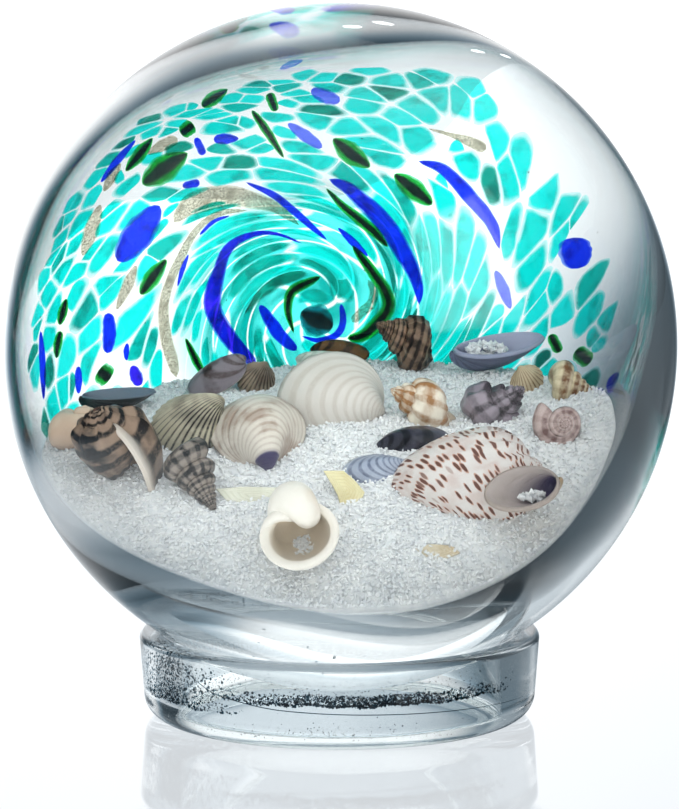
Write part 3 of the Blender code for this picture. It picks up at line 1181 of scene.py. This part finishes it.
# Shells
# Sea shells and pieces of broken ones, 6 to 30 mm long, lie half sunk in the sand. Whelks and snails are
# coiled tubes, and clams are hollow valves. Each is closed, with a thickness.
VALVE_ROWS = 96
VALVE_COLUMNS = 144
VALVE_COILED = math.radians(200)
VALVE_INNER_COILED = math.radians(95)
VALVE_INNER_ROWS = 24
SPIRAL_ROWS = 220
SPIRAL_COLUMNS = 60
LIP_ROWS = 11
THROAT_ROWS = 13
FRAGMENT_RINGS = 12
FRAGMENT_SIDE = 8
MOUTH_DEEP = 1.5
SIGHT_SPAN = 0.06
SIGHT_HALVINGS = 30
WALL_CLEARANCE = 0.0003
WALL_STEP = 0.0004
WALL_STEPS = 60


def bent_line(picture_x, picture_y):
    """A pixel's sight line inside the hollow: its point nearest the globe's centre, and its direction."""
    enters, line = inside_line(picture_x, picture_y)
    return globe_centre + (enters - (enters * line).sum(axis=-1, keepdims=True) * line) * WIDE, line


def on_sand(picture_x, picture_y):
    """Where a pixel's sight line meets the sand's top, found by halving."""
    start, line = bent_line(picture_x, picture_y)
    low, high = np.full(start.shape[:-1], -SIGHT_SPAN), np.full(start.shape[:-1], SIGHT_SPAN)
    for _ in range(SIGHT_HALVINGS):
        way = (low + high) / 2
        spot = start + way[..., None] * line - globe_centre
        above = spot[..., 2] > sand_height(spot[..., 0], spot[..., 1])
        low, high = np.where(above, way, low), np.where(above, high, way)
    return start + low[..., None] * line


def set_down(points, box, rests, depth, long, face):
    """Turns a shell's +Y along long and its +Z towards face, sizes it to a box in the picture, and rests it.

    It stands in the sand that shows at the pixel row rests, with its middle farther off by depth, or nearer
    than that along its sight line where the hollow's wall would be in the way.
    """
    long = np.array(long, float) / np.linalg.norm(long)
    face = np.array(face, float) - (long @ face) * long
    face /= np.linalg.norm(face)
    turned = points @ np.stack([np.cross(long, face), long, face])
    left, top, right, bottom = box
    view = np.stack([RIGHT, SIGHT, UP])
    seen = (turned @ view.T).reshape(-1, 3)
    low, high = seen.min(axis=0), seen.max(axis=0)
    size = GLOBE_PIXEL * math.sqrt((right - left) * (bottom - top) / (high - low)[0] / (high - low)[2])
    placed = (turned - (low + high) / 2 @ view) * size
    start, line = bent_line((left + right) / 2, (top + bottom) / 2)
    at = start + line * (on_sand((left + right) / 2, rests)[1] + depth - start[1]) / line[1]
    for _ in range(WALL_STEPS):
        if fits_hollow(placed + at - globe_centre, WALL_CLEARANCE).all():
            break
        at = at - line * WALL_STEP
    return placed + at


def add_shell(name, form, box, rests, depth, long, face, material):
    """Sets a shell's grid down and adds it, its faces outwards by the sign of its volume.

    Its UVs are the way round and the growth, which is 0 at the oldest end, 1 at the edge, and more inside.
    """
    points, growth = form
    rows, columns = points.shape[:2]
    faces, places = grid_faces(columns, rows)
    places[..., 1] = growth[np.rint(places[..., 1] * (rows - 1)).astype(int)]
    points = set_down(points, box, rests, depth, long, face)
    corners = (points - points.mean(axis=(0, 1))).reshape(-1, 3)[faces]
    volume = np.einsum("ni,ni->n", corners[:, 0], np.cross(corners[:, 1], corners[:, 2])).sum()
    volume += np.einsum("ni,ni->n", corners[:, 0], np.cross(corners[:, 2], corners[:, 3])).sum()
    if volume < 0:
        faces, places = faces[:, ::-1], places[:, ::-1]
    return add_piece(name, points, faces, material, places=places)


def valve(width, coil, skew=0.0, ribs=(0, 0.0), ridges=(0, 0.0), thickness=0.05):
    """One half of a clam, of unit length from hinge to edge.

    Its edge (width / 2 * cos s + skew * y, y = (1 + sin s) / 2) turns about the hinge by an angle a as it
    shrinks by e ** (-coil * a). Ribs run out along s, and ridges lie along the edge. Both are lifted along
    the normal.
    """
    outer = np.linspace(VALVE_COILED, 0, VALVE_ROWS)
    inner = np.linspace(0, VALVE_INNER_COILED, VALVE_INNER_ROWS)
    turned = np.concatenate([outer, inner])[:, None]
    s = np.arange(VALVE_COLUMNS) / VALVE_COLUMNS * math.tau - math.pi / 2
    y = (1 + np.sin(s)) / 2
    shrink = np.exp(-coil * turned)
    points = np.stack([shrink * (width / 2 * np.cos(s) + skew * y), shrink * y * np.cos(turned),
                       shrink * y * np.sin(turned)], axis=-1)
    round_s = np.roll(points, -1, axis=1) - np.roll(points, 1, axis=1)
    spin = np.stack([-coil * points[..., 0], -coil * points[..., 1] - points[..., 2],
                     -coil * points[..., 2] + points[..., 1]], axis=-1)
    normal = np.cross(round_s, -spin)
    normal /= np.maximum(np.linalg.norm(normal, axis=-1, keepdims=True), 1e-9)
    normal *= np.sign(normal[VALVE_ROWS - 20, VALVE_COLUMNS // 2, 2] + 1e-12)
    lift = ribs[1] * np.cos(ribs[0] * s) + ridges[1] * np.cos(ridges[0] * turned) ** 3
    lift = lift * np.sqrt(y) * shrink ** 0.8
    inside = np.arange(len(turned)) >= VALVE_ROWS
    lift = np.where(inside[:, None], -thickness * shrink ** 0.5 + lift * 0.3, lift)
    points = points + normal * lift[..., None]
    points[0] = points[0].mean(axis=0)
    points[-1] = points[-1].mean(axis=0)
    growth = np.concatenate([1 - outer / VALVE_COILED, 1.001 + inner / VALVE_COILED])
    return points, growth


def spiral_shell(turns, widening, tube, drop, away=0.9, ribs=(0, 0.0), cords=(0, 0.0), knobs=0.0, canal=0.0,
                 mouth=0.80, flare=0.04):
    """A coiled tube with its tip at the origin and its mouth towards -Y, opening to +Z.

    g = widening ** (-t / tau) is the size at t turns back from the mouth, and the section is an oval round
    (away, -drop) of half width 1 and half height tube. Ribs lift it by cos(n t), cords by cos(n s). The lip
    is rounded over, in a half circle, to a mouth of its own share of the tube.
    """
    outer = np.linspace(turns * math.tau, 0, SPIRAL_ROWS)
    over = np.linspace(0, math.pi, LIP_ROWS + 1)[1:]
    lip_half = (1 + flare - mouth) / 2
    inner = np.linspace(0, MOUTH_DEEP, THROAT_ROWS + 1)[1:]
    inner = np.concatenate([-lip_half * np.sin(over) * 0.8, inner])
    t = np.concatenate([outer, inner])[:, None]
    s = np.arange(SPIRAL_COLUMNS) / SPIRAL_COLUMNS * math.tau
    g = widening ** (-t / math.tau)
    lip = 1 + flare * np.exp(-(t / 0.15) ** 2)
    shoulder = np.exp(-((s - 0.9) / 0.55) ** 2)
    lift = lip * (1 + ribs[1] * np.cos(ribs[0] * t) + cords[1] * np.cos(cords[0] * s)
                  + knobs * shoulder * np.maximum(np.cos(ribs[0] * t), 0) ** 2)
    inside = (np.arange(len(t)) >= SPIRAL_ROWS)[:, None]
    throat = np.concatenate(
        [np.zeros(SPIRAL_ROWS), mouth + lip_half * (1 + np.cos(over)), np.full(THROAT_ROWS, mouth)]
    )
    lift = np.where(inside, throat[:, None], lift)
    low = np.maximum(-np.sin(s), 0)
    out = away + lift * np.cos(s) * (1 - 0.45 * canal * low ** 2)
    high = -drop + lift * tube * (np.sin(s) - canal * low ** 3)
    points = np.stack([g * out * np.cos(t), g * high, -g * out * np.sin(t)], axis=-1)
    points[0] = points[0].mean(axis=0)
    points[-1] = points[-1].mean(axis=0)
    growth = np.concatenate([1 - outer / (turns * math.tau), 1.001 + np.arange(len(inner)) / 80])
    return points, growth


def fragment(outline, bow, thickness):
    """A plate broken from a shell: rings from its middle out to a given edge, bowed by bow * r ** 2."""
    outline = np.array(outline, float)
    ends = zip(outline, np.roll(outline, -1, axis=0))
    edge = np.concatenate([np.linspace(start, end, FRAGMENT_SIDE + 1)[:-1] for start, end in ends])
    middle = edge.mean(axis=0)
    edge = (edge - middle) / np.abs(edge - middle).max()
    out = np.linspace(0, 1, FRAGMENT_RINGS)
    shares = np.concatenate([out, np.linspace(1, 0, FRAGMENT_RINGS)])[:, None, None]
    flat = shares * edge[None]
    face = np.repeat([1, -1], FRAGMENT_RINGS)[:, None]
    height = -bow * (flat ** 2).sum(axis=-1) + face * thickness / 2 * np.sqrt(1.05 - shares[..., 0])
    growth = np.concatenate([out, np.linspace(1.001, 1.5, FRAGMENT_RINGS)])
    return np.stack([flat[..., 0], -flat[..., 1], height], axis=-1), growth


def shell_glaze(
    name, ground, mark, growth=(0, 0.0), rays=(0, 0.0), blotch=(200.0, 0.0), tip=None, inside=None,
    spots=None, roughness=0.35,
):
    """Shell: lines along its growth and out from its tip, blotches, a worn tip, and inside a colour that
    goes over to a second one deeper in.

    growth and rays are how many lines and how strong. blotch is a scale and a strength. tip is a colour and
    how far up the growth it goes. spots are how many across and along, how large, and the colours of
    their middle and edge.
    """
    material, shader = plain_material(name, ground, roughness, IOR=1.5)
    tree = material.node_tree
    node = partial(add_node, tree)
    place = node("TexCoord", output="Object")
    grid = node("SeparateXYZ", {0: node("UVMap")}, output=None)
    noise = node("TexNoise", {"Vector": place, "Scale": blotch[0], "Detail": 4.0})
    fine = node("TexNoise", {"Vector": place, "Scale": 1800.0, "Detail": 3.0})
    amount = node("Math MULTIPLY", (node("MapRange SMOOTHSTEP", (noise, 0.48, 0.62, 0.0, 1.0)), blotch[1]))
    relief = node("Math MULTIPLY", (fine, 0.5))
    for axis, (count, strength) in (("Y", growth), ("X", rays)):
        if strength:
            phase = node("Math MULTIPLY", (grid[axis], count * math.tau))
            phase = node("Math ADD", (phase, node("Math MULTIPLY", (noise, 1.3))))
            wave = node("MapRange SMOOTHSTEP", (node("Math SINE", (phase,)), -0.2, 0.9, 0.0, 1.0))
            uneven = node("MapRange SMOOTHSTEP", (fine, 0.3, 0.6, 0.6, 1.0))
            uneven = node("Math MULTIPLY", (wave, uneven))
            amount = node("Math ADD", (amount, node("Math MULTIPLY", (uneven, strength))))
            relief = node("Math ADD", (relief, node("Math MULTIPLY", (wave, -0.5))))
    amount = node("Math MINIMUM", (amount, 1.0))
    colour = node("Mix RGBA", {"Factor": amount, 6: linear(ground), 7: linear(mark)}, output=2)
    if spots:
        counts = zip("XY", spots[:2])
        spread = node("CombineXYZ", {axis: node("Math MULTIPLY", (grid[axis], n)) for axis, n in counts})
        cell = node(
            "TexVoronoi", {"Vector": spread, "Scale": 1.0, "Randomness": 0.75}, voronoi_dimensions="2D",
            output=None,
        )
        far = node("Math ADD", (cell["Distance"], node("Math MULTIPLY", (noise, 0.55))))
        some = node("SeparateColor", {0: cell["Color"]})
        some = node("MapRange SMOOTHSTEP", (some, 0.25, 0.40, 0.0, 0.9))
        for reach, hue in ((spots[2] + 0.10, spots[4]), (spots[2], spots[3])):
            spot = node("MapRange SMOOTHSTEP", (far, reach, reach + 0.08, 1.0, 0.0))
            spot = node("Math MULTIPLY", (spot, some))
            colour = node("Mix RGBA", {"Factor": spot, 6: colour, 7: linear(hue)}, output=2)
    if tip:
        worn = node("Math ADD", (grid["Y"], node("Math MULTIPLY", (noise, 0.06))))
        worn = node("MapRange SMOOTHSTEP", (worn, tip[1], tip[1] + 0.04, 1.0, 0.0))
        colour = node("Mix RGBA", {"Factor": worn, 6: colour, 7: linear(tip[0])}, output=2)
    if inside:
        within = node("MapRange SMOOTHSTEP", (grid["Y"], 0.992, 1.004, 0.0, 1.0))
        # Inside, the colour goes over to the second one deeper into the valve's hollow or the snail's
        # throat; every second colour given is darker.
        deep = node("MapRange SMOOTHSTEP", (grid["Y"], 1.02, 1.30, 0.0, 1.0))
        lining = node("Mix RGBA", {"Factor": deep, 6: linear(inside[0]), 7: linear(inside[1])}, output=2)
        colour = node("Mix RGBA", {"Factor": within, 6: colour, 7: lining}, output=2)
    tree.links.new(colour, shader.inputs["Base Color"])
    bump = node("Bump", {"Height": relief, "Distance": 0.0002, "Strength": 0.5})
    tree.links.new(bump, shader.inputs["Normal"])
    return material


add_shell(
    "bubble_snail", spiral_shell(3, 3.2, 1.3, 1.75, away=0.8), (50, 400, 99, 466), 458, 0.006,
    (0.10, -0.15, 0.95), (0.55, 0.80, -0.1),
    shell_glaze("cream_shell", "#D6BFA8", "#BE9C84", blotch=(90.0, 0.5), roughness=0.25),
)
add_shell(
    "striped_whelk",
    spiral_shell(
        5, 1.75, 1.5, 2.3, away=0.70, ribs=(9, 0.03), cords=(9, 0.02), knobs=0.22, canal=0.55, mouth=0.86,
        flare=0.10,
    ),
    (69, 410, 166, 517), 510, 0.006, (-0.30, -0.38, 0.87), (-0.80, -0.60, -0.05),
    shell_glaze(
        "striped_brown_shell", "#977E6A", "#1C100B", growth=(12, 0.55), rays=(9, 1.0), blotch=(160.0, 0.6),
        tip=("#5C3A2C", 0.18), inside=("#D2C6BA", "#8E7662"),
    ),
)
add_shell(
    "dark_cerith", spiral_shell(8, 1.33, 0.85, 4.6, ribs=(15, 0.03), cords=(7, 0.02)), (164, 438, 217, 509),
    505, 0.003, (0.45, -0.50, -0.80), (0.2, 0.8, 0.3),
    shell_glaze(
        "grey_brown_shell", "#8C8076", "#1C1714", growth=(104, 0.6), rays=(5, 0.7), blotch=(420.0, 0.7)
    ),
)
add_shell(
    "mussel_cup", valve(0.62, 1.25, ridges=(60, 0.004), thickness=0.03), (83, 385, 152, 415), 413, 0.003,
    (1.0, 0.1, 0.02), (0.0, 0.12, -1.0),
    shell_glaze("dark_mussel_shell", "#2A2320", "#120E0C", growth=(14, 0.8), blotch=(200.0, 0.5),
                inside=("#76808E", "#3C4A60")),
)
add_shell(
    "ark_valve", valve(0.66, 1.2, ridges=(50, 0.010), thickness=0.05), (187, 351, 247, 400), 398, 0.005,
    (-0.80, -0.25, -0.50), (-0.15, -0.60, 0.75),
    shell_glaze("purple_brown_shell", "#857A80", "#43302B", growth=(8, 0.8), blotch=(140.0, 0.7),
                inside=("#EFE9E2", "#B9AFAF")),
)
add_shell(
    "small_cockle", valve(0.95, 1.1, ribs=(22, 0.016), thickness=0.05), (234, 361, 278, 398), 396, 0.004,
    (-0.50, -0.30, -0.80), (0.1, -0.85, 0.5),
    shell_glaze("ribbed_brown_shell", "#94826F", "#3C2E26", rays=(22, 0.8), blotch=(200.0, 0.5)),
)
add_shell(
    "fan_cockle", valve(1.05, 1.05, ribs=(30, 0.016), thickness=0.05), (152, 391, 226, 456), 452, 0.005,
    (-0.80, -0.30, -0.50), (-0.25, -0.72, 0.62),
    shell_glaze(
        "ribbed_grey_shell", "#B4AC96", "#2A2724", rays=(30, 0.9), growth=(6, 0.25), blotch=(180.0, 0.3)
    ),
)
add_shell(
    "worn_clam", valve(0.90, 0.80, skew=0.14, ridges=(64, 0.004), thickness=0.06), (216, 389, 301, 476),
    471, 0.009, (-0.25, 0.80, 0.52), (0.08, -0.55, 0.80),
    shell_glaze(
        "tan_clam_shell", "#CEC5B9", "#8E7666", growth=(22, 0.34), blotch=(120.0, 0.6),
        tip=("#3A2F58", 0.50),
    ),
)
add_shell(
    "white_clam", valve(1.05, 1.25, skew=-0.1, ridges=(96, 0.005), thickness=0.05), (268, 354, 394, 446),
    431, 0.008, (-0.92, 0.10, 0.34), (-0.05, -0.86, 0.5),
    shell_glaze(
        "white_clam_shell", "#C6C0B8", "#A6988A", growth=(26, 0.40), blotch=(90.0, 0.15),
        tip=("#6E5646", 0.40),
    ),
)
add_shell(
    "clam_edge_piece", valve(0.42, 1.7, ridges=(50, 0.004), thickness=0.04), (290, 349, 382, 380), 378,
    0.006, (0.98, -0.10, -0.12), (0.0, -0.60, 0.8),
    shell_glaze("pale_green_shell", "#D5DBCF", "#A7B0A2", growth=(14, 0.6), blotch=(150.0, 0.3)),
)
add_shell(
    "brown_mussel", valve(0.55, 1.2, ridges=(40, 0.004), thickness=0.04), (306, 338, 374, 366), 372, 0.004,
    (1.0, 0.05, -0.05), (0.0, -0.65, 0.75),
    shell_glaze("golden_brown_shell", "#6B4A26", "#20140B", growth=(9, 0.8), blotch=(160.0, 0.6)),
)
add_shell(
    "ridged_whelk", spiral_shell(5, 1.62, 0.95, 3.3, ribs=(11, 0.04), cords=(10, 0.05), knobs=0.06),
    (365, 319, 443, 372), 378, 0.007, (-0.86, -0.15, 0.42), (0.3, 0.9, 0.3),
    shell_glaze(
        "ridged_brown_shell", "#96765F", "#2E1C13", growth=(44, 0.45), rays=(10, 0.85), blotch=(200.0, 0.5)
    ),
)
add_shell(
    "tan_whelk", spiral_shell(5, 1.80, 1.20, 2.9, ribs=(9, 0.04), knobs=0.14, canal=0.1),
    (387, 378, 461, 436), 430, 0.006, (-0.90, -0.10, 0.36), (0.20, 0.60, 0.75),
    shell_glaze(
        "tan_white_shell", "#DDD2C0", "#96683A", growth=(44, 0.6), rays=(5, 0.35), blotch=(220.0, 0.5)
    ),
)
add_shell(
    "purple_whelk", spiral_shell(5, 1.7, 1.0, 3.0, ribs=(7, 0.09), cords=(6, 0.06), knobs=0.22),
    (458, 381, 527, 434), 429, 0.006, (0.72, -0.30, 0.60), (0.2, 0.9, -0.3),
    shell_glaze(
        "purple_grey_shell", "#8C8089", "#352B31", growth=(40, 0.7), rays=(6, 0.5), blotch=(220.0, 0.8)
    ),
)
add_shell(
    "slate_mussel", valve(0.60, 1.15, ridges=(50, 0.004), thickness=0.05), (374, 426, 453, 463), 458, 0.005,
    (0.95, 0.15, 0.12), (0.05, -0.72, 0.68),
    shell_glaze("slate_blue_shell", "#4A4A58", "#1A1A22", growth=(10, 0.7), blotch=(110.0, 0.6),
                tip=("#A8927C", 0.42)),
)
add_shell(
    "blue_tellin", valve(0.66, 1.5, ridges=(90, 0.008), thickness=0.05), (342, 453, 409, 491), 487, 0.004,
    (-0.93, -0.15, -0.1), (-0.12, -0.68, 0.72),
    shell_glaze("blue_grey_shell", "#A2A9B8", "#5E667C", growth=(32, 0.7), blotch=(150.0, 0.3),
                inside=("#F1EFEA", "#D8D4CE")),
)
add_shell(
    "yellow_fragment",
    fragment(
        ((324, 471), (343, 471), (354, 481), (363, 492), (355, 511), (342, 515), (337, 495)), 0.12, 0.12
    ),
    (324, 470, 364, 516), 513, 0.003, (0.0, 0.35, 0.90), (0.1, -0.9, 0.35),
    shell_glaze("yellow_shell", "#DDD2A4", "#C4B27C", growth=(6, 0.3), blotch=(200.0, 0.4)),
)
add_shell(
    "cream_fragment",
    fragment(
        ((223, 493), (245, 490), (275, 489), (290, 493), (270, 507), (245, 508), (232, 503)), 0.10, 0.08
    ),
    (222, 485, 292, 509), 507, 0.002, (0.05, 0.30, 0.94), (0.0, -0.93, 0.3),
    shell_glaze("cream_plate_shell", "#DAD8C6", "#BDB9A2", growth=(5, 0.4), blotch=(160.0, 0.3)),
)
add_shell(
    "moon_snail", spiral_shell(4, 2.8, 1.05, 0.65, away=0.60, mouth=0.78, flare=0.02), (258, 486, 342, 562),
    562, 0.000, (0.80, 0.25, 0.35), (-0.15, -0.78, 0.60),
    shell_glaze(
        "white_moon_shell", "#E4DDD2", "#CBB090", blotch=(70.0, 0.5), inside=("#E6DED2", "#C0AE94"),
        roughness=0.28,
    ),
)
add_shell(
    "spotted_volute",
    spiral_shell(4, 3.0, 1.70, 2.1, away=0.80, ribs=(18, 0.012), cords=(9, 0.008), knobs=0.06),
    (366, 424, 548, 536), 516, 0.0110, (0.88, 0.10, 0.36), (0.1, 0.3, -0.95),
    shell_glaze("spotted_shell", "#CEC7C2", "#B89A90", growth=(60, 0.12), blotch=(230.0, 0.35),
                spots=(64.0, 84.0, 0.50, "#54291F", "#B4846E")),
)
open_clam = add_shell(
    "open_clam", valve(0.72, 1.1, ridges=(60, 0.005), thickness=0.06), (488, 466, 559, 511), 510, -0.005,
    (-0.95, -0.10, -0.28), (0.12, 0.64, -0.76),
    shell_glaze("open_clam_shell", "#B39C7C", "#6E5940", growth=(16, 0.6), blotch=(160.0, 0.4),
                inside=("#A79A94", "#3E3050")),
)
add_shell(
    "pink_snail", spiral_shell(4, 1.9, 0.95, 1.9, away=0.95, cords=(8, 0.012)), (534, 399, 579, 452), 450,
    0.004, (0.12, -0.95, 0.20), (0.7, 0.0, 0.7),
    shell_glaze(
        "pink_snail_shell", "#BDA8A2", "#6C514D", growth=(40, 0.3), rays=(6, 0.5), blotch=(200.0, 0.4)
    ),
)
add_shell(
    "banded_whelk", spiral_shell(6, 1.55, 0.95, 3.3, ribs=(12, 0.03)), (544, 361, 599, 404), 400, 0.004,
    (0.94, -0.15, -0.22), (0.1, 0.8, -0.5),
    shell_glaze(
        "banded_tan_shell", "#D9C9A6", "#6E451F", growth=(66, 0.25), rays=(3, 0.75), blotch=(260.0, 0.3)
    ),
)
add_shell(
    "tan_cockle", valve(1.0, 1.1, ribs=(20, 0.014), thickness=0.05), (507, 366, 547, 400), 397, 0.004,
    (0.50, -0.20, -0.80), (-0.1, -0.85, 0.5),
    shell_glaze("ribbed_tan_shell", "#C9B595", "#80603C", rays=(20, 0.75), blotch=(200.0, 0.3)),
)
lavender_bowl = add_shell(
    "lavender_bowl", valve(0.46, 1.2, ridges=(40, 0.003), thickness=0.05), (455, 330, 539, 374), 378, 0.006,
    (1.0, 0.0, 0.06), (0.0, 0.42, -0.90),
    shell_glaze("lavender_grey_shell", "#6C6E88", "#40425A", growth=(8, 0.5), blotch=(120.0, 0.4),
                inside=("#A2A4BA", "#5C5E78")),
)
add_shell(
    "tan_fragment",
    fragment(((420, 549), (432, 545), (450, 546), (456, 552), (440, 560), (425, 559)), 0.10, 0.14),
    (419, 544, 457, 561), 559, 0.001, (0.0, 0.7, 0.7), (0.0, -0.7, 0.7),
    shell_glaze("sandy_shell", "#D6C8AE", "#B79F7A", growth=(5, 0.4), blotch=(200.0, 0.4)),
)

# Crystals in two of the shells
# White quartz crystals, larger than the sand's, fell into the lavender bowl and the open clam. They are
# strewn over an oval in the picture, as far off as the shell's middle.
HEAP_GRAIN = 0.0006
HEAP_DEEP = 1.5


def heap_crystals(name, shell, middle, half, count):
    """Crystals over an oval of the picture, given by its middle and half width and height in pixels."""
    far = np.mean([vertex.co.y for vertex in shell.data.vertices])
    turn, out = random.random(count) * math.tau, np.sqrt(random.random(count))
    start, line = bent_line(
        middle[0] + half[0] * out * np.cos(turn), middle[1] + half[1] * out * np.sin(turn)
    )
    off = far + random.uniform(-HEAP_DEEP, HEAP_DEEP, count) * HEAP_GRAIN - start[:, 1]
    make_grains(name, start + line * (off / line[:, 1])[:, None], HEAP_GRAIN, random)


heap_crystals("crystals_in_lavender_bowl", lavender_bowl, (486, 350), (20, 8), 110)
heap_crystals("crystals_in_open_clam", open_clam, (532, 496), (12, 5), 40)
